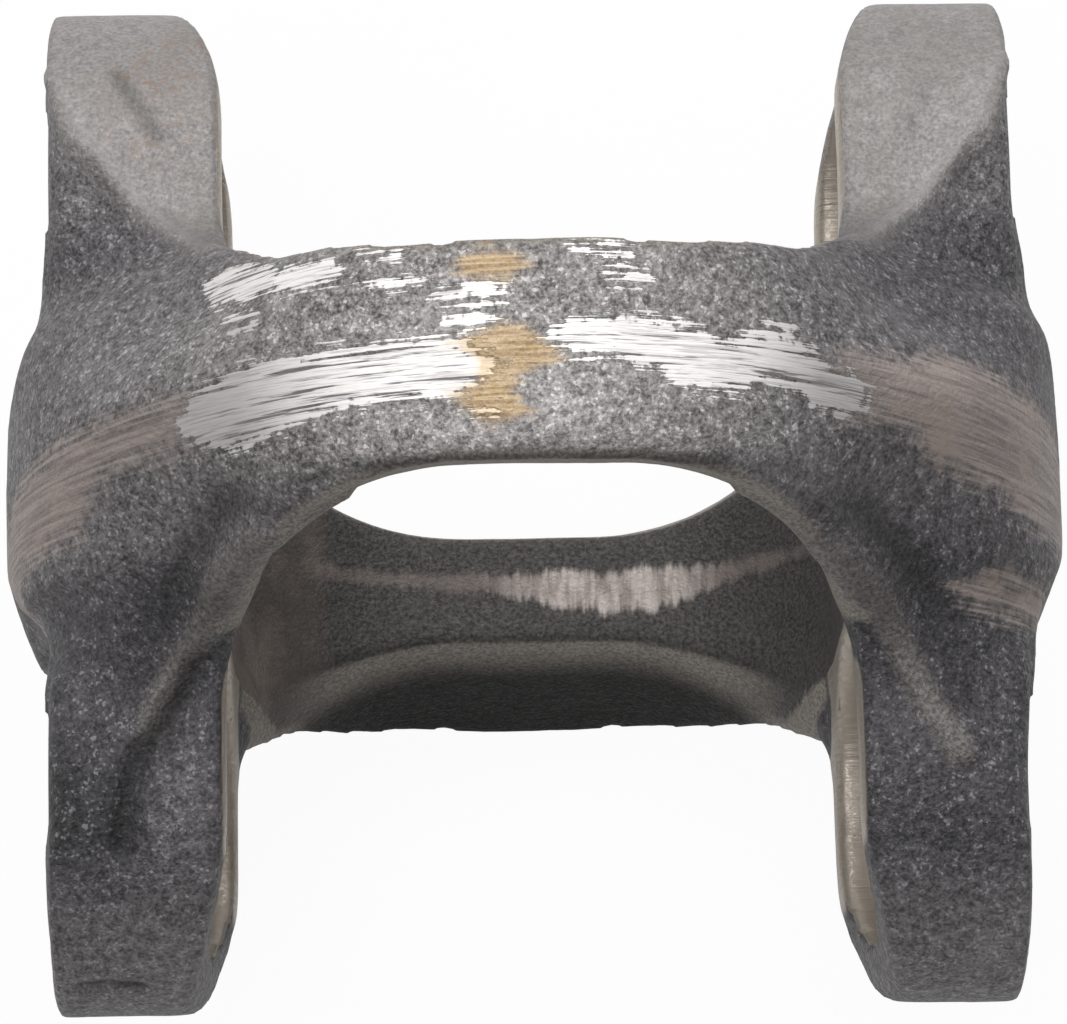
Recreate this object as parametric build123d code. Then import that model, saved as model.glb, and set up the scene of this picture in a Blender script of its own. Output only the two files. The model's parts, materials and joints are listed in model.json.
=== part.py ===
"""Centre yoke of a double universal joint: a forged steel ring with two pairs of eyes."""

import math
import os

from build123d import *

# Eyes: two pairs of bored ears, one pair on each side of the ring. The bores run along X.
eye_centre = 26.7
eye_radius = 19.0
ear_half_width = 43.6
ear_gap_half = 27.1
bore_radius = 13.49
bore_chamfer = 0.8

# Retaining-ring groove in each bore, close to the ear's outer face.
groove_to_face = 1.7
groove_width = 1.6
groove_depth = 0.9

# Ring: a short barrel round the Y axis with a rounded opening as wide as the gap between the ears.
ring_radius = 47.3
ring_half_height = 10.2
opening_half_length = 29.0
opening_corner_radius = 17.0

# Front and back of the ears: a hollow sweep from the ring's edge down to the eye.
sweep_taper = 10.0
sweep_radius = 11.0

# Gap between the ears of a pair: a hollow floor that rises outward, flat walls, and a flare at the tips.
gap_floor = 5.0
gap_slope = 0.275
gap_arch_run = 20.6
gap_arch_radius = 23.0
gap_corner_radius = 5.0
gap_flare_start = 31.0
gap_flare_radius = 26.0

# Outer skin of the forging as sections across Y. Each row: share of the way from the ring's edge
# to the eye's centre, how far the section stands past the ear's face, share of the ring's radius
# that it reaches at front and back, how square it is, and how far its shoulders draw in.
skin_rows = [
    (-0.62, 3.40, 1.000, 2.0, 0.000),
    (-0.48, 3.40, 1.000, 2.0, 0.012),
    (-0.31, 3.35, 1.000, 2.0, 0.046),
    (-0.12, 3.20, 0.998, 2.0, 0.095),
    (0.00, 3.10, 0.975, 2.0, 0.110),
    (0.12, 2.95, 0.880, 2.0, 0.085),
    (0.21, 2.75, 0.775, 2.0, 0.055),
    (0.30, 2.45, 0.660, 2.2, 0.030),
    (0.42, 1.90, 0.545, 2.7, 0.008),
    (0.57, 1.25, 0.472, 3.5, 0.000),
    (0.80, 0.55, 0.438, 4.6, 0.000),
    (1.00, 0.15, 0.450, 5.0, 0.000),
    (1.28, -0.35, 0.488, 5.0, 0.000),
    (1.60, -0.70, 0.600, 5.0, 0.000),
    (2.30, -1.10, 0.800, 5.0, 0.000),
]
shoulder_narrowness = 6
skin_step = 1.7
skin_points = 11

# How far a cutting shape runs past the surface it cuts, so that no two faces meet in one plane.
overrun = 5.0

# Edges closer together than this are taken as one where two halves are fused.
join_tolerance = 0.001


def skin_values(y):
    """Half width, reach, squareness and shoulder draw of the skin at a height y."""
    share = (y - ring_half_height) / (eye_centre - ring_half_height)
    share = min(max(share, skin_rows[0][0]), skin_rows[-1][0])
    index = max(i for i in range(len(skin_rows) - 1) if skin_rows[i][0] <= share)
    start, end = skin_rows[index], skin_rows[index + 1]
    part = (share - start[0]) / (end[0] - start[0])
    proud, reach, power, draw = (a + (b - a) * part for a, b in zip(start[1:], end[1:]))
    return ear_half_width + proud, ring_radius * reach, power, draw


def skin_section(y):
    """Quarter of a smooth outline across Y, round at the ring and square at the eyes."""
    half_width, reach, power, draw = skin_values(y)
    points = []
    for step in range(skin_points):
        turn = math.pi / 2 * step / (skin_points - 1)
        across, along = math.cos(turn), math.sin(turn)
        radius = (abs(across / half_width) ** power + abs(along / reach) ** power) ** (-1 / power)
        radius *= 1 - draw * math.sin(2 * turn) ** shoulder_narrowness
        points.append(Vector(radius * across, y, radius * along))
    points[0] = Vector(half_width, y, 0)
    points[-1] = Vector(0, y, reach)
    centre = Vector(0, y, 0)
    outline = Edge.make_spline(points, tangents=[Vector(0, 0, 1), Vector(-1, 0, 0)])
    return Wire([outline, Edge.make_line(points[-1], centre), Edge.make_line(centre, points[0])])


def outer_skin():
    """One eighth of the forging's outside, without its front and back sweeps."""
    top = eye_centre + eye_radius + skin_step
    steps = round(top / skin_step)
    return Solid.make_loft([skin_section(top * step / steps) for step in range(steps + 1)])


def side_profile():
    """Quarter of the eyes, ring and sweeps seen along the bores, drawn through one ear."""
    tall = ring_radius + overrun
    slope = math.tan(math.radians(sweep_taper))
    foot = ring_half_height + (ring_radius - eye_radius) * slope
    head = ring_half_height - (tall - ring_radius) * slope
    inner = Polyline((tall, 0), (0, 0), (0, eye_centre), (eye_radius, eye_centre), (eye_radius, foot))
    outer = Polyline((eye_radius, foot), (tall, head), (tall, 0))
    outline = make_face(inner.edges() + outer.edges())
    hollow = outline.vertices().sort_by_distance((eye_radius, foot))[0]
    outline = fillet(hollow, sweep_radius) + Location((0, eye_centre)) * Circle(eye_radius)
    along_bores = Plane(origin=(0, 0, 0), x_dir=(0, 0, 1), z_dir=(-1, 0, 0))
    return extrude(along_bores * outline, -ear_half_width - overrun)


def fork_gap():
    """Space between one pair of ears, its hollow floor rising outward from the ring's opening."""
    low = gap_floor - gap_slope * opening_half_length
    high = eye_centre + eye_radius + overrun
    flat_half = ear_gap_half - gap_arch_run
    rise = gap_arch_radius - math.sqrt(gap_arch_radius**2 - gap_arch_run**2)
    half_turn = math.asin(gap_arch_run / gap_arch_radius) / 2
    arch_middle = (
        flat_half + gap_arch_radius * math.sin(half_turn),
        low + gap_arch_radius * (1 - math.cos(half_turn)),
    )
    outline = Face(Wire([
        Edge.make_line((0, low), (flat_half, low)),
        Edge.make_three_point_arc((flat_half, low), arch_middle, (ear_gap_half, low + rise)),
        Edge.make_line((ear_gap_half, low + rise), (ear_gap_half, high)),
        Edge.make_line((ear_gap_half, high), (0, high)),
        Edge.make_line((0, high), (0, low)),
    ]))
    corner = outline.vertices().sort_by_distance((ear_gap_half, low + rise))[0]
    outline = fillet(corner, gap_corner_radius)
    return Solid.extrude(outline.face(), Vector(0, gap_slope, 1) * 2 * ring_radius)


def tip_flare():
    """Space beside one ear's inner face, where the pair opens out toward the tips."""
    high = eye_centre + eye_radius + overrun - gap_flare_start
    depth = gap_flare_radius - math.sqrt(gap_flare_radius**2 - high**2)
    half_turn = math.asin(high / gap_flare_radius) / 2
    middle = (
        gap_flare_radius * (1 - math.cos(half_turn)),
        gap_flare_radius * math.sin(half_turn),
    )
    outline = Face(Wire([
        Edge.make_three_point_arc((0, 0), middle, (depth, high)),
        Edge.make_line((depth, high), (0, high)),
        Edge.make_line((0, high), (0, 0)),
    ]))
    return extrude(Location((ear_gap_half, gap_flare_start)) * outline, ring_radius)


def ring_opening():
    """Rounded opening through the ring, as wide as the ears' machined inner faces are apart."""
    outline = RectangleRounded(2 * ear_gap_half, 2 * opening_half_length, opening_corner_radius)
    return extrude(Plane.XZ * outline, 2 * eye_centre, both=True)


def ear_bore():
    """Bore through one ear, with its retaining-ring groove and a chamfer at the outer mouth."""
    start = ear_gap_half - overrun
    end = ear_half_width + overrun
    groove_end = ear_half_width - groove_to_face
    groove_start = groove_end - groove_width
    section = Polyline(
        (start, 0), (start, bore_radius), (groove_start, bore_radius),
        (groove_start, bore_radius + groove_depth), (groove_end, bore_radius + groove_depth),
        (groove_end, bore_radius), (ear_half_width - bore_chamfer, bore_radius),
        (end, bore_radius + bore_chamfer + overrun), (end, 0), (start, 0),
    )
    return Location((0, eye_centre, 0)) * revolve(make_face(section), Axis.X)


def with_mirror_image(solid, plane):
    """A solid fused with its image on the other side of a plane that it ends on."""
    return solid.fuse(solid.mirror(plane), tol=join_tolerance).solids()[0]


# One eighth holds every surface once; the rest is its image over the three middle planes.
eighth = outer_skin() & side_profile()
eighth = eighth - fork_gap() - tip_flare() - ring_opening() - ear_bore()
yoke = eighth.solids()[0]
for middle in (Plane.XY, Plane.YZ, Plane.XZ):
    yoke = with_mirror_image(yoke, middle)

os.makedirs("parts", exist_ok=True)
export_step(yoke, "parts/centre_yoke.step")
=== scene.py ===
import json
import math

import bpy
import numpy as np
from mathutils import Matrix, Vector, noise


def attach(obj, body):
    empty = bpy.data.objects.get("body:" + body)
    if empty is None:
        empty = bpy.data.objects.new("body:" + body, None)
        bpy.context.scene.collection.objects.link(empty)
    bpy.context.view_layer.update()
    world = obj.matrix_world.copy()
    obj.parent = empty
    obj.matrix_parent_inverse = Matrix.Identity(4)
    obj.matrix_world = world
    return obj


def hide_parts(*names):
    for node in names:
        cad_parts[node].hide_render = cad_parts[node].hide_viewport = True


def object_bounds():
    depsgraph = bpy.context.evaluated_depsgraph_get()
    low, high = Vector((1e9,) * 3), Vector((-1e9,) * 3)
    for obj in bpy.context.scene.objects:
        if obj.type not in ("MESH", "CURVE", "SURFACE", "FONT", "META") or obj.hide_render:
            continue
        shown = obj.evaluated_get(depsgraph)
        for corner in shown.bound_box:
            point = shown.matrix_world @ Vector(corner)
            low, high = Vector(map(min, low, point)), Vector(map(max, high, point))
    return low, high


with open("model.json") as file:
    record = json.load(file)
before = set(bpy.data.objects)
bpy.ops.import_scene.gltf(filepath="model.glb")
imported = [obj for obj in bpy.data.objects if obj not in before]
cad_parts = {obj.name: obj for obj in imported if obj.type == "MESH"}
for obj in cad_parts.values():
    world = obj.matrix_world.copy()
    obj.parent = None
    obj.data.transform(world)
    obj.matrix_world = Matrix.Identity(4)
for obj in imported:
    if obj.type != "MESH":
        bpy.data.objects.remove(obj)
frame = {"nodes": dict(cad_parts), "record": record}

cad_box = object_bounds()

# The yoke: one steel forging, a ring with two bored eyes on each side, hammered hot in closed dies. The flash
# was then ground off round the ring, and the bores and the ears' inner faces were machined. Places and
# lengths are in mm, with X along the bores, Y up the picture and Z toward the viewer.
eyes = frame["record"]["mounts"][0]
eye_centre = eyes["pos_m"][1] * 1000
bore_radius = eyes["dims"]["r_mm"]
ear_inner_face = 27.1
ring_radius = 47
ring_inner_radius = 38
mesh_step = 0.64

# An even mesh of the solid, laid back onto it, so that the skin can be pushed in and out anywhere.
cad_node = frame["nodes"]["centre_yoke"]
yoke = bpy.data.objects.new("forged_yoke", cad_node.data.copy())
bpy.context.scene.collection.objects.link(yoke)
for name, kind, settings in (
    ("even mesh", "REMESH", {"mode": "VOXEL", "voxel_size": mesh_step / 1000}),
    ("soft edges", "SMOOTH", {"factor": 0.5, "iterations": 5}),
    ("onto the solid", "SHRINKWRAP", {"wrap_method": "NEAREST_SURFACEPOINT", "target": cad_node}),
    ("soft edges again", "SMOOTH", {"factor": 0.5, "iterations": 9}),
):
    modifier = yoke.modifiers.new(name, kind)
    for setting, value in settings.items():
        setattr(modifier, setting, value)
bpy.context.view_layer.update()
skin = bpy.data.meshes.new_from_object(yoke.evaluated_get(bpy.context.evaluated_depsgraph_get()))
yoke.modifiers.clear()
yoke.data = skin
skin.name = "forged_yoke"
skin.materials.clear()
skin.polygons.foreach_set("use_smooth", np.ones(len(skin.polygons), bool))

# Each vertex's place and outward direction, its place with the signs dropped, its angle round the ring
# from the front, and how far it lies from the nearest eye's axis.
count = len(skin.vertices)
spots = np.empty(count * 3)
skin.vertices.foreach_get("co", spots)
spots = spots.reshape(-1, 3) * 1000
facing = np.empty(count * 3)
skin.vertex_normals.foreach_get("vector", facing)
facing = facing.reshape(-1, 3)
x, y, z = spots.T
folded = np.abs(spots)
folded_x, folded_y, folded_z = folded.T
around = np.degrees(np.arctan2(x, z))
from_eye = np.minimum(np.hypot(y - eye_centre, z), np.hypot(y + eye_centre, z))


def near(points, width, places=spots, edge=2):
    """How close each place is to a line of points: 1 on it, 0 past its width. A larger edge is sharper."""
    best = np.full(count, np.inf)
    for start, end in zip(points[:-1], points[1:]):
        start, along = np.array(start, float), np.subtract(end, start).astype(float)
        share = np.clip(((places - start) @ along) / (along @ along), 0, 1)
        best = np.minimum(best, np.linalg.norm(places - start - share[:, None] * along, axis=1))
    return np.exp(-(best / width) ** edge)


def rise(value, low, high):
    """Rises smoothly from 0 to 1 as an array's values go from low to high."""
    share = np.clip((value - low) / (high - low), 0, 1)
    return share * share * (3 - 2 * share)


# Machined places, which stay true: the bores and the ears' flat inner faces, as depths inside their edge.
# A web of forged steel fills each corner between ring and ear, and cuts the flat face short.
web = near([(26.0, 14.6, 34), (26.0, 14.6, 19)], 3.8, folded)
face_foot = 12
face_half_length = 24
inner_face = np.minimum.reduce([
    ear_inner_face + 0.35 - folded_x, folded_x - ear_inner_face + 0.5,
    folded_y - face_foot, face_half_length - folded_z,
]) - 2 * web
bore_lip = 0.46
cut = np.maximum(inner_face, bore_radius + bore_lip - from_eye)
forged = 1 - rise(cut, -0.1, 0.2)

# The forged skin's slow unevenness, as waves in each mm and their height.
die_waves = ((0.1, 0.14), (0.45, 0.03), (1.1, 0.02))
wave = np.array([sum(height * noise.noise(Vector(p) * pitch) for pitch, height in die_waves) for p in spots])

# Sharp crests where the upper ears' fronts meet their flanks, alike left and right, front and back.
crest_line = [
    (42.3, 35.2, 16), (39.7, 29.7, 18.1), (36.8, 25.3, 18.8), (33.9, 21.4, 19.4), (30.7, 18.6, 20.7),
    (29.4, 16.6, 22.3), (27.7, 14.5, 25.2),
]
crest = near(crest_line, 1.1, np.column_stack([folded_x, y, folded_z]))

# Ridges that run from the ring's lower edge down the lower ears, with a hollow beside each.
left_ridge = [
    (-17, -9.2, 37), (-24.1, -12.1, 32.4), (-27, -13.7, 27.3), (-29.2, -17.2, 21.7), (-32.1, -21.8, 19.3),
    (-33.5, -24.5, 19.0),
]
right_ridge = [
    (17, -9.2, 37), (24.6, -13.0, 30), (28.4, -15.0, 24.3), (31, -20, 19.6), (33.5, -24.7, 19.0),
    (35.6, -28.0, 19.0),
]
ridge = np.maximum(near(left_ridge, 1.3, edge=4), near(right_ridge, 1.35, edge=4))
beside_left = [(-20, -8.2, 37), (-27, -9.5, 33), (-30.4, -12.2, 28.3), (-32.8, -16, 23), (-35.2, -20.5, 20.5)]
beside_right = [(20, -8.2, 37), (27.6, -10.5, 31), (31.6, -12.8, 26), (34.6, -17.5, 21.5), (37, -23, 19.5)]
hollow = np.maximum(near(beside_left, 2.0), near(beside_right, 1.8))

# Marks left where the hot steel folded: a furrow in the left lower ear, a crease in each upper ear, and a
# lap in the left lower tip.
furrow_line = [
    (-29.6, -20.0, 20.5), (-31.6, -23.2, 19.2), (-33.8, -26.5, 19.0), (-35.4, -30.0, 18.8),
    (-36.0, -35.0, 17.0),
]
left_crease = [(-36.4, 35.6, 17.0), (-35.9, 34.4, 17.4), (-34.2, 31.2, 18.3), (-32.6, 28.4, 18.9)]
right_crease = [(33.5, 27.9, 19.0), (34.6, 30.5, 18.5), (35.4, 33.0, 17.9)]
lap_line = [(-39.8, -44.4, 6.0), (-37.5, -44.2, 6.4), (-35.0, -44.6, 5.8)]
furrow = near(furrow_line, 1.15)
creases = np.maximum(near(left_crease, 0.5), near(right_crease, 0.8) * 0.35)
lap = near(lap_line, 0.6)

# How far each form stands out of the skin, or is sunk into it where the number is below 0.
push = (wave - 0.1) * forged
for form, height in (
    (web, 1.5), (crest, 0.5), (ridge, 0.7), (hollow * (1 - ridge), -0.6), (furrow, -0.95),
    (creases, -0.5), (lap, -0.6),
):
    push += form * height
moved = spots + facing * push[:, None]

# Flat bosses round the bores' outer mouths: what stood short of them comes out, the retaining-ring grooves
# with it, and what stood past them goes back a little.
boss_radius = 20.6
boss_low, boss_high = 42.4, 42.9
sign = np.sign(x)
boss = rise(boss_radius - from_eye, 0, 6.0) * rise(folded_x, 38, 39.5)
moved[:, 0] += sign * boss * np.clip(boss_low - np.abs(moved[:, 0]), 0, 3)
moved[:, 0] -= sign * boss * np.clip(np.abs(moved[:, 0]) - boss_high, 0, 3) * 0.6

# Where this forging is uneven, as moves along X: the lower right ear is narrower, the right shoulder fuller,
# the lower tips thicker on their inner side, and the flash ends in a step at the left below the ring.
ear_loss = 0.8 * rise(x, 36, 41) * rise(-y, 17, 30)
shoulder_gain = 0.5 * rise(x, 36, 42) * rise(y, 6, 12) * rise(-y, -24, -17)
tip_gain = 0.8 * rise(-y, 39, 45) * rise(35 - folded_x, 0, 5)
flash_step = 0.8 * rise(-x, 36, 42) * rise(-y, 11.8, 12.5) * rise(y, -21, -15)
moved[:, 0] += shoulder_gain + flash_step - ear_loss - sign * tip_gain
low, high = (np.array(corner) * 1000 for corner in cad_box)
moved = np.clip(moved, low, high)
skin.vertices.foreach_set("co", (moved / 1000).ravel())


# A stroke of the grinder tapers over the last part of its length at each end. Where no stroke can be, the
# depth inside one is far below 0.
taper = 0.14
taper_slope = 0.6
far_outside = -9.0


def stroke_depth(strokes, angle, height):
    """Depth inside the widest of some strokes round the ring, below 0 outside them."""
    depth = np.full(count, far_outside)
    for start, start_height, end, end_height, half_width in strokes:
        first = np.array([math.radians(start) * ring_radius, start_height])
        along = np.array([math.radians(end) * ring_radius, end_height]) - first
        length = np.hypot(*along)
        a, b = np.radians(angle) * ring_radius - first[0], height - first[1]
        far = (a * along[0] + b * along[1]) / length
        beside = np.abs(a * along[1] - b * along[0]) / length
        in_taper = np.maximum(0, np.maximum(taper * length - far, far - (1 - taper) * length))
        depth = np.maximum(depth, half_width - beside - taper_slope * in_taper)
    return depth


# Where the flash was ground off round the ring: angle from the front in degrees and height at each end of a
# stroke, then its half width. The back carries the same strokes turned over, without the stain.
bright_strokes = [
    (-37, -2.0, -5, -1.6, 3.0), (-38, -2.9, -24, -2.3, 3.2), (-41, 10.3, -30, 8.8, 2.1),
    (-29.5, 8.7, -21, 7.6, 1.5), (-36, 6.2, -30.5, 4.9, 0.7), (-34, 4.2, -31, 4.4, 0.6),
    (-17.8, 5.8, -12.0, 6.0, 0.85), (-11.4, 4.6, -4.2, 4.8, 0.85), (-9.5, 3.2, -4.1, 3.3, 0.65),
    (-9.5, 2.2, -4.5, 2.3, 0.65), (-18.6, 9.2, -13.8, 8.6, 0.6), (6.5, 7.3, 9.6, 7.4, 0.6),
    (6.3, 5.7, 10.6, 5.8, 0.75), (3, 8.6, 9.8, 8.7, 0.6), (1.5, 0.7, 14, 0.9, 2.0), (8, 0.4, 17, -0.2, 2.4),
    (13, -1.0, 20.5, -1.6, 2.5), (21, 0.2, 30, -1.2, 2.3), (23.2, 2.6, 26.5, 2.5, 0.6),
    (28, -1.8, 34, -2.2, 2.2), (-8, -5.2, -3, -6.6, 0.7),
]
dull_strokes = [
    (-36, -2.1, -62, -3.0, 2.8), (-58, -4.0, -78, -6.2, 4.6), (-76, -9, -96, -9, 4.0),
    (30, -1.5, 50, -0.6, 3.6), (46, -0.6, 62, -1.6, 5.6), (60, -2.0, 82, -3.5, 6.0),
    (60, -14.2, 78, -13.8, 2.3), (80, -4, 100, 4, 4.0), (-82, -6, -100, 3, 4.0),
]
stains = [
    (-5.0, -0.2, -1.6, -0.6, 2.3), (-4.9, -1.8, -4.4, -4.4, 1.7), (-6.4, -4.6, -3.9, -5.2, 1.9),
    (-7.4, 7.0, -2.6, 7.0, 1.35), (-5.4, 9.3, -5.2, 9.6, 0.5),
]
at_front = z > 0
behind = np.where(around > 0, 180 - around, -180 - around)
angle = np.where(at_front, around, behind)
radius = np.hypot(x, z)
outward = (facing[:, 0] * x + facing[:, 2] * z) / radius
outside = rise(radius, ring_inner_radius - 1, ring_inner_radius + 1) * rise(outward, 0.35, 0.6)
ring_strokes = {}
for name, strokes in (("ground", bright_strokes), ("dull", dull_strokes), ("stain", stains)):
    depth = stroke_depth(strokes, angle, np.where(at_front, y, -y))
    if name == "stain":
        depth = np.where(at_front, depth, far_outside)
    ring_strokes[name] = depth * outside + far_outside * (1 - outside)

# How light the scale is, as sRGB greys: lightest across the ring's middle and on the upper ears, darker on
# the lower ears. Each zone is laid over the last by its share, and the back is turned over.
across = np.where(at_front, x, -x)
shoulder_grey = 0x68 - 16 * rise(across, 12, 34)
zones = {
    "ring's middle": (0x9d, np.exp(-((across + 4) / 26) ** 2) * np.exp(-(y / 12) ** 4)),
    "upper ears": (0x94, rise(y, 13, 24)),
    "lower ears": (0x4e, rise(-y, 9, 17)),
    "dark outer side": (0x30, 0.8 * np.exp(-((across + 40) / 5) ** 2 - ((y + 32) / 6) ** 2)),
    "lighter inner side": (0x66, 0.8 * np.exp(-((across + 31) / 4) ** 2 - ((y + 33) / 6) ** 2)),
    "lower tips": (0x70, rise(-y, 33, 43)),
}
grey = shoulder_grey
for zone_grey, share in zones.values():
    grey = grey + (zone_grey - grey) * share
level = ((grey / 255 + 0.055) / 1.055) ** 2.4

# The upper ears' fronts are smooth and light inside the crests. Past the crests their flanks are darkened
# with painted shade, as they face away from the light above.
front_foot = 14
crest_y = [12, 14.5, 16.6, 18.6, 21.4, 25.3, 29.7, 35.2, 38.5]
crest_x = [24, 27.7, 29.4, 30.7, 33.9, 36.8, 39.7, 42.3, 45]
inside_crest = np.interp(y, crest_y, crest_x) - folded_x
level = level * (1 - 0.47 * rise(-inside_crest, -0.2, 0.8) * rise(y, front_foot, front_foot + 5))
front = np.abs(facing[:, 2]) + np.maximum(facing[:, 1], 0)
on_front = rise(front, 0.3, 0.5)

# The floor of the gap between two ears: its height at the ring's middle, its slope outward, and the arch
# that starts beside a flat middle. It is a rim round the opening, and the deep shade under the far band's rim
# is painted in as near-black.
floor_height, floor_slope, arch_start, arch_run, arch_radius = -2.975, 0.275, 6.5, 20.6, 23
run = np.clip(folded_x - arch_start, 0, arch_run)
arch_drop = arch_radius - np.sqrt(arch_radius**2 - run**2)
above_floor = folded_y - floor_height - floor_slope * folded_z - arch_drop
in_gap = (folded_x < 28) * (folded_z > 15) * (folded_y < 20)
fork_floor = (1 - rise(np.abs(above_floor), 0.6, 1.3)) * in_gap
far_underside = rise(-facing[:, 1], 0.1, 0.4) * (folded_x < 30) * (y < 0) * (y > -18) * rise(-z, 30, 36.5)
# Painted shade: the hollows beside the ridges and a thin line along the ring's lower edge are darkened in
# colour.
lower_edge = [(-26, -9.2, 38), (-17, -9.6, 44), (0, -9.8, 47), (17, -9.6, 44), (26, -9.2, 38)]
shade = np.maximum(hollow, near(lower_edge, 1.05))

# The inside of the ring is dark, with a machined strip that is widest right of its middle.
strip_half = np.interp(x, [-24, -12, -2, 3, 12, 17, 24], [1.0, 1.1, 1.3, 2.3, 2.4, 1.6, 1.0])
strip_middle = np.interp(x, [-24, 0, 8, 20], [1.8, 0.2, -0.6, 0.8])

# The ring's outside is lively with bright specks, most of all near its middle: partly bare steel that
# blasting left in the scale, partly painted glints.
blasted = np.exp(-(y / 12) ** 4) * rise(radius, 36, 39)
blasted_most = np.exp(-(np.abs(around + 4) % 180 / 42) ** 4)

# What the material needs to know of each vertex, stored in the mesh under these names.
fields = {
    "cut": cut,
    "ground": ring_strokes["ground"],
    "dull": ring_strokes["dull"],
    "stain": ring_strokes["stain"],
    "level": level,
    "lively": blasted * (0.45 + 0.55 * blasted_most),
    "smooth": np.minimum(inside_crest, (y - front_foot) * 0.6) * on_front - 3 * (1 - on_front),
    "crest": crest * rise(front, 0.2, 0.5),
    "ridge": ridge,
    "ends": rise(-angle, 20, 34) + rise(angle, 19, 31) - 0.7 * rise(folded_y, 5.0, 6.5),
    "rust": near([(-34.5, 34, 17), (-29.5, 38, 14), (-33, 29, 18)], 3.5),
    "shade": shade * (1 - ridge),
    "furrow": np.clip(furrow + 0.62 * creases + lap, 0, 1),
    "rim": fork_floor,
    "under": far_underside * fork_floor,
    "inside": rise(-outward, 0.4, 0.7) * (radius < 41) * (folded_y < 13),
    "strip": strip_half - np.abs(y - strip_middle),
}
for name, values in fields.items():
    skin.attributes.new(name, "FLOAT", "POINT").data.foreach_set("value", values.astype(float))


def linear(hex_colour):
    """Turns an sRGB hex colour into the linear colour that shader sockets take."""
    parts = [int(hex_colour[i:i + 2], 16) / 255 for i in (1, 3, 5)]
    return [c / 12.92 if c <= 0.04045 else ((c + 0.055) / 1.055) ** 2.4 for c in parts] + [1.0]


def node(tree, kind, inputs, output=0, **settings):
    """Adds a node with its settings, links or fills its inputs by name or in order, and returns an output."""
    made = tree.nodes.new("ShaderNode" + kind)
    for name, value in settings.items():
        setattr(made, name, value)
    for name, value in (inputs if isinstance(inputs, dict) else dict(enumerate(inputs))).items():
        if isinstance(value, bpy.types.NodeSocket):
            tree.links.new(value, made.inputs[name])
        else:
            made.inputs[name].default_value = linear(value) if isinstance(value, str) else value
    return made.outputs[output]


# Forged steel with its scale, shot-blasted, ground and machined. The scale gives a dark blue-grey skin full
# of fine bright specks, partly painted glints, grinding gives silvery streaks that turn brown, and machining
# a warm satin metal.
# Light and shade on the crests, ridges, hollows, folds and underside are painted into the colour as well.
steel = bpy.data.materials.new("forged_steel_scale")
steel.use_nodes = True
tree = steel.node_tree
shader = tree.nodes["Principled BSDF"]
place = node(tree, "TexCoord", {}, "Object")
mark = {name: node(tree, "Attribute", {}, "Fac", attribute_name=name) for name in fields}

# Blasting grit leaves dents of about 0.1 mm. They are drawn three times as coarse, or the render would blur
# them to one grey. The clusters they form and the blotches of scale are at their real size.
grit, cluster, blotch, speck_size = 0.3448, 0.9524, 9.091, 0.2564
grain, coarse, cloud = (
    node(tree, "TexNoise", {"Vector": place, "Scale": 1000 / size, "Detail": detail, "Roughness": 0.6}, "Fac")
    for size, detail in ((grit, 3.0), (cluster, 3.0), (blotch, 5.0))
)
cell = node(tree, "TexVoronoi", {"Vector": place, "Scale": 1000 / speck_size}, "Color")
seed = node(tree, "SeparateColor", {"Color": cell})

# Grinding scratches run round the ring and are thin along Y. They are drawn about twice as wide as a grinding
# belt's grit leaves them, so that they show. The machined strip's tool marks stand upright and lean a little.
scratch = (9.091, 0.3448, 9.091)
fine_scratch = (5.263, 0.1923, 5.263)
tool_mark = (0.6667, 3.846, 8.333)
streak, fine_streak, rib = (
    node(tree, "TexNoise", {
        "Vector": node(tree, "Mapping", {
            "Vector": place, "Scale": [1000 / length for length in size], "Rotation": (0, 0, lean),
        }),
        "Scale": 1.0, "Detail": detail, "Roughness": roughness,
    }, "Fac")
    for size, lean, detail, roughness in (
        (scratch, 0, 4.0, 0.6), (fine_scratch, 0, 3.0, 0.6), (tool_mark, 0.25, 2.0, 0.5),
    )
)

# The edges of ground marks are torn by the scratches and by the scale's clusters, the machined strip's by its
# tool marks. Each gives how many mm the edge wanders, and how much of that each mark takes.
wander = node(tree, "Math", (streak, 5.0, -2.5), operation="MULTIPLY_ADD")
cluster_wander = node(tree, "Math", (coarse, 3.4, -1.7), operation="MULTIPLY_ADD")
wander = node(tree, "Math", (wander, cluster_wander), operation="ADD")
strip_wander = node(tree, "Math", (rib, 2.2, -1.1), operation="MULTIPLY_ADD")
torn = {
    name: node(tree, "Math", (offset, share, mark[name]), operation="MULTIPLY_ADD")
    for name, offset, share in (
        ("ground", wander, 1.0), ("dull", wander, 1.0), ("stain", wander, 0.5), ("strip", strip_wander, 1.0),
    )
}
sideways = node(tree, "SeparateXYZ", {"Vector": place})

# Shares from 0 to 1: a value, then the two levels between which the share comes up. With the levels the
# other way round the share goes down. The machined strip brightens and fades at places along X, in metres.
shares = {
    "grain": (grain, 0.34, 0.66),
    "coarse": (coarse, 0.34, 0.66),
    "rough skin": (mark["smooth"], 0.5, -0.4),
    "speck seed": (seed, 0.74, 0.94),
    "speck cluster": (coarse, 0.44, 0.6),
    "light": (mark["level"], 0.06, 0.26),
    "rusty": (coarse, 0.46, 0.66),
    "inside the crest": (mark["smooth"], 0.3, 3.0),
    "blotchy": (cloud, 0.46, 0.62),
    "browned": (cloud, 0.52, 0.68),
    "scored": (fine_streak, 0.5, 0.62),
    "ground": (torn["ground"], 0.0, 0.5),
    "dull": (torn["dull"], -0.6, 2.2),
    "stain": (torn["stain"], -0.6, 0.9),
    "strip": (torn["strip"], 0.0, 1.0),
    "strip from the left": (sideways, -0.006, 0.004),
    "strip to the right": (sideways, 0.02, 0.012),
    "inside left": (sideways, -0.018, -0.021),
    "machined": (mark["cut"], -0.05, 0.15),
}
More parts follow.
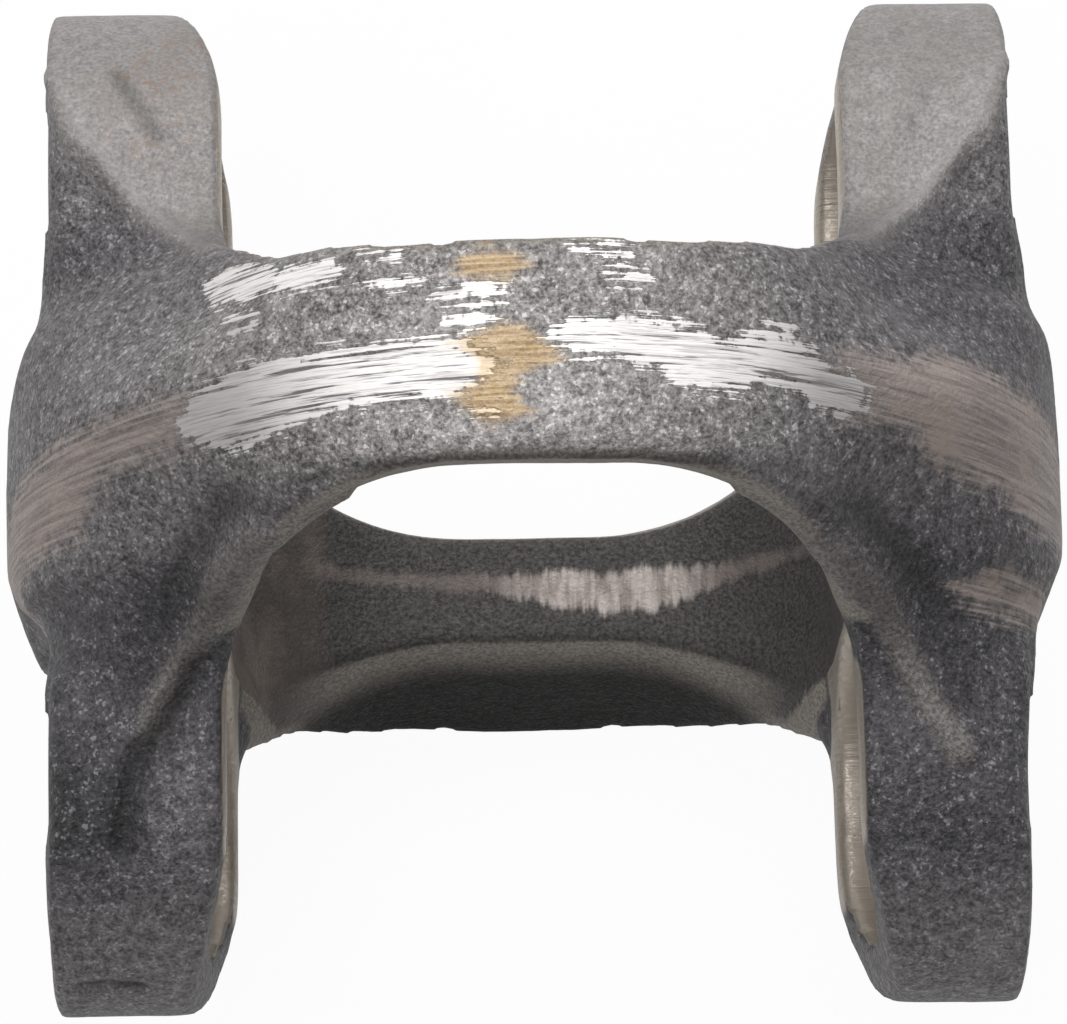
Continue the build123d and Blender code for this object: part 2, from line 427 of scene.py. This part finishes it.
for name, (value, start, end) in shares.items():
    levels = (value, start, end) if start < end else (value, end, start, 1.0, 0.0)
    shares[name] = node(tree, "MapRange", levels, interpolation_type="SMOOTHSTEP")

# How the grain, the clusters and the blotches lighten and darken the scale, with bright specks, partly bare
# steel and partly painted glints, where the ring is most lively. On the ears' smooth fronts they show about
# half as much.
swing = node(tree, "Math", (cloud, 0.9, -0.45), operation="MULTIPLY_ADD")
for pattern, plain_depth, lively_depth in ((shares["grain"], 0.78, -0.06), (shares["coarse"], 0.45, 0.1)):
    depth = node(tree, "Math", (mark["lively"], lively_depth, plain_depth), operation="MULTIPLY_ADD")
    centred = node(tree, "Math", (pattern, 0.5), operation="SUBTRACT")
    swing = node(tree, "Math", (centred, depth, swing), operation="MULTIPLY_ADD")
rough_share = node(tree, "Math", (shares["rough skin"], 0.55, 0.45), operation="MULTIPLY_ADD")
speck = node(tree, "Math", (shares["speck seed"], shares["speck cluster"]), operation="MULTIPLY")
speck = node(tree, "Math", (speck, shares["rough skin"]), operation="MULTIPLY")
speck_depth = node(tree, "Math", (mark["lively"], 0.9, 0.5), operation="MULTIPLY_ADD")
swing = node(tree, "Math", (swing, rough_share, 0.97), operation="MULTIPLY_ADD")
swing = node(tree, "Math", (speck, speck_depth, swing), operation="MULTIPLY_ADD")
swing = node(tree, "Math", (swing, 0.12), operation="MAXIMUM")
lightness = node(tree, "Math", (mark["level"], swing), operation="MULTIPLY")
shade_share = node(tree, "Math", (coarse, 0.45, 0.5), operation="MULTIPLY_ADD")

# Two-tone colours, finishes and also the ridges' painted highlight and the painted shade: the pattern that
# mixes them, between which levels, the dark and the light tone.
colours = {
    "gap's floor": (grain, 0.3, 0.7, "#6b6662", "#a0998f"),
    "ring's inside": (grain, 0.3, 0.7, "#343232", "#5a5756"),
    "inside patch": (cloud, 0.4, 0.6, "#5c5550", "#7d736d"),
    "ridge": (grain, 0.3, 0.7, "#5c5856", "#8a8582"),
    "shade": (grain, 0.3, 0.7, "#1d1b1d", "#3a383a"),
    "tool marks": (rib, 0.3, 0.7, "#9a908b", "#cdc3bd"),
    "brown streaks": (streak, 0.35, 0.65, "#857c78", "#aea29c"),
    "silver streaks": (streak, 0.38, 0.46, "#6f6b6c", "#fbf8f6"),
    "gold-brown stain": (streak, 0.4, 0.58, "#b08e5a", "#e0c294"),
}
for name, (pattern, start, end, dark, light) in colours.items():
    share = node(tree, "MapRange", (pattern, start, end), interpolation_type="SMOOTHSTEP")
    colours[name] = node(tree, "Mix", {0: share, 6: dark, 7: light}, 2, data_type="RGBA")
tint = node(tree, "Mix", {0: shares["light"], 6: "#fdf7fe", 7: "#fff9f7"}, 2, data_type="RGBA")
colours["skin"] = node(tree, "Mix", {0: lightness, 6: "#000000", 7: tint}, 2, data_type="RGBA")
colours["strip"] = "#756c68"

# Layers in the order in which they lie on each other: what a layer lies on, the factors of its share, and
# its colour, which is a two-tone colour from above or a plain one. Some layers are painted light and shade.
layers = [
    ("strip", (shares["strip from the left"], shares["strip to the right"]), "tool marks"),
    ("brown streaks", (shares["browned"],), "#a8998f"),
    ("silver streaks", (shares["scored"], 0.42), "#8d898a"),
    ("silver streaks", (mark["ends"], 0.62), "#8f898c"),
    # Bright specks: partly bare steel in the scale, partly painted glints.
    ("skin", (speck, 0.3), "#c2c0c4"),
    # Painted highlight along the upper ears' crests.
    ("skin", (mark["crest"], 0.5), "#989391"),
    ("skin", (mark["rust"], shares["rusty"], 0.7), "#86705f"),
    ("skin", (shares["inside the crest"], shares["blotchy"], 0.3), "#77706a"),
    ("skin", (mark["rim"],), "gap's floor"),
    ("skin", (mark["inside"],), "ring's inside"),
    ("skin", (mark["inside"], shares["strip"], 0.85), "strip"),
    ("skin", (mark["inside"], shares["inside left"], 0.8), "inside patch"),
    # Painted shadow: the underside of the far band's rim is painted near-black.
    ("skin", (mark["under"], 0.97), "#050505"),
    # Painted highlight along the ridges' rounded tops.
    ("skin", (mark["ridge"], 0.75), "ridge"),
    # Painted shade in the hollows beside the ridges and along the ring's lower edge.
    ("skin", (mark["shade"], shade_share), "shade"),
    # Painted shade inside the furrow, the creases and the lap.
    ("skin", (mark["furrow"], 0.78), "#1c1b1d"),
    ("skin", (shares["dull"], 0.85), "brown streaks"),
    ("skin", (shares["ground"],), "silver streaks"),
    ("skin", (shares["stain"], 0.72), "gold-brown stain"),
    ("skin", (shares["machined"],), "#b0a79c"),
]
for base, (share, *factors), colour in layers:
    for factor in factors:
        share = node(tree, "Math", (share, factor), operation="MULTIPLY")
    over = colours.get(colour, colour)
    colours[base] = node(tree, "Mix", {0: share, 6: colours[base], 7: over}, 2, data_type="RGBA")
tree.links.new(colours["skin"], shader.inputs["Base Color"])

# Scale is an oxide over the steel, so it is barely metallic and scatters light. Bare steel is smoother, and
# shows more metal where it was machined than where it was ground.
bare = node(tree, "Math", (shares["ground"], shares["machined"]), operation="MAXIMUM")
metal = node(tree, "Math", (shares["machined"], 0.45, 0.2), operation="MULTIPLY_ADD")
scale_roughness = node(tree, "Math", (seed, 0.25, 0.45), operation="MULTIPLY_ADD")
roughness = node(tree, "Math", (bare, -0.15, scale_roughness), operation="MULTIPLY_ADD")
tree.links.new(metal, shader.inputs["Metallic"])
tree.links.new(roughness, shader.inputs["Roughness"])
shader.inputs["Specular IOR Level"].default_value = 0.3

# The grit's dents stand in the scale, less on the ears' smooth fronts, and only scratches in bare steel.
pit_depth = 0.26
pits = node(tree, "Math", (coarse, 0.9), operation="MULTIPLY")
pits = node(tree, "Math", (grain, 0.6, pits), operation="MULTIPLY_ADD")
smooth_calm = node(tree, "Math", (shares["rough skin"], -0.5, 0.5), operation="MULTIPLY_ADD")
bare_calm = node(tree, "Math", (bare, 0.95), operation="MULTIPLY")
calm = node(tree, "Math", (bare_calm, smooth_calm), operation="MAXIMUM")
pit_share = node(tree, "Math", (1.0, calm), operation="SUBTRACT")
scratches = node(tree, "Math", (streak, bare), operation="MULTIPLY")
scratches = node(tree, "Math", (scratches, 0.35), operation="MULTIPLY")
relief = node(tree, "Math", (pits, pit_share, scratches), operation="MULTIPLY_ADD")
bump = node(tree, "Bump", {"Height": relief, "Distance": pit_depth / 1000, "Strength": 1.0})
tree.links.new(bump, shader.inputs["Normal"])
skin.materials.append(steel)
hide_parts("centre_yoke")
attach(yoke, "root")

# The floor: one large sheet of matt white paper under the ring's lowest point. It isn't part of the yoke. The
# paper keeps a faint shadow of the yoke, and the camera sees it as almost plain white.
half_length = 3.0
floor_z = float(cad_box[0][2])
corners = [(-half_length, -half_length), (half_length, -half_length), (half_length, half_length),
           (-half_length, half_length)]
sheet = bpy.data.meshes.new("floor")
sheet.from_pydata([(*corner, floor_z) for corner in corners], [], [(0, 1, 2, 3)])
floor = bpy.data.objects.new("floor", sheet)
bpy.context.scene.collection.objects.link(floor)


def white_share(tree):
    """How much plain white a ray meets: all from the camera, a quarter in a reflection, none as light."""
    straight, mirrored, through = (
        node(tree, "LightPath", {}, ray) for ray in ("Is Camera Ray", "Is Glossy Ray", "Is Transmission Ray")
    )
    indirect = node(tree, "Math", (mirrored, through), operation="MAXIMUM")
    indirect = node(tree, "Math", (indirect, 0.25), operation="MULTIPLY")
    return node(tree, "Math", (straight, indirect), operation="MAXIMUM")


# Uncoated paper, pressed from pulp. Fibres of about 1 mm make it very slightly cloudy, with no gloss.
fibre_length = 1.1111
paper = bpy.data.materials.new("matt_white_paper")
paper.use_nodes = True
tree = paper.node_tree
fibre = node(tree, "TexNoise", {"Scale": 1000 / fibre_length, "Detail": 4.0}, "Fac")
pulp = node(tree, "Mix", {0: fibre, 6: "#f0f0f0", 7: "#f8f8f8"}, 2, data_type="RGBA")
matt = tree.nodes["Principled BSDF"]
tree.links.new(pulp, matt.inputs["Base Color"])
matt.inputs["Roughness"].default_value = 0.9
seen_share = node(tree, "Math", (white_share(tree), 0.95), operation="MULTIPLY")
white = node(tree, "Emission", {"Color": "#ffffff", "Strength": 1.0})
lit = node(tree, "MixShader", (seen_share, matt.outputs[0], white))
tree.links.new(lit, tree.nodes["Material Output"].inputs["Surface"])
sheet.materials.append(paper)

# The camera: a long lens above the yoke, in metres from its middle. It leans toward the lower ears, so that
# the far side of the ring shows through the gap. Lens and shift are worked out from the picture's pixels.
picture_width, picture_height = 1067, 1024
focal_pixels = 6216
middle_row = 503
film_width = 36
distance = 0.555
tilt, yaw, roll = math.radians(16), math.radians(1.2), math.radians(0.95)
camera_data = bpy.data.cameras.new("camera")
camera = bpy.data.objects.new("camera", camera_data)
bpy.context.scene.collection.objects.link(camera)
up = Vector((0, math.cos(tilt), math.sin(tilt)))
away = Matrix.Rotation(-yaw, 3, up) @ Vector((0, -math.sin(tilt), math.cos(tilt)))
side = up.cross(away).normalized()
axes = Matrix((side, away.cross(side).normalized(), away)).transposed() @ Matrix.Rotation(-roll, 3, "Z")
camera.location = away * distance
camera.rotation_euler = axes.to_euler()
camera_data.sensor_width = film_width
camera_data.lens = focal_pixels * film_width / picture_width
camera_data.shift_y = (middle_row - picture_height / 2) / picture_width
camera_data.clip_start = 0.01
bpy.context.scene.camera = camera

# The light: a large soft box toward the top of the picture, a weaker one beside the camera, and a dim pale
# room that the camera and reflections see as white. Places and sizes are in metres, power in watts.
soft_boxes = (("top_box", (0.0, 0.6, 0.75), 0.7, 7.5), ("front_box", (-0.25, -0.2, 0.95), 0.5, 3.2))
for name, spot, size, power in soft_boxes:
    lamp_data = bpy.data.lights.new(name, "AREA")
    lamp_data.size = size
    lamp_data.energy = power
    lamp = bpy.data.objects.new(name, lamp_data)
    lamp.location = spot
    lamp.rotation_euler = Vector(spot).to_track_quat("Z", "Y").to_euler()
    bpy.context.scene.collection.objects.link(lamp)
room_light = 0.18
room = bpy.data.worlds.new("room")
room.use_nodes = True
bpy.context.scene.world = room
tree = room.node_tree
background = tree.nodes["Background"]
background.inputs["Color"].default_value = linear("#ffffff")
strength = node(tree, "Math", (white_share(tree), 1 - room_light, room_light), operation="MULTIPLY_ADD")
tree.links.new(strength, background.inputs["Strength"])
bpy.context.scene.view_settings.view_transform = "Standard"
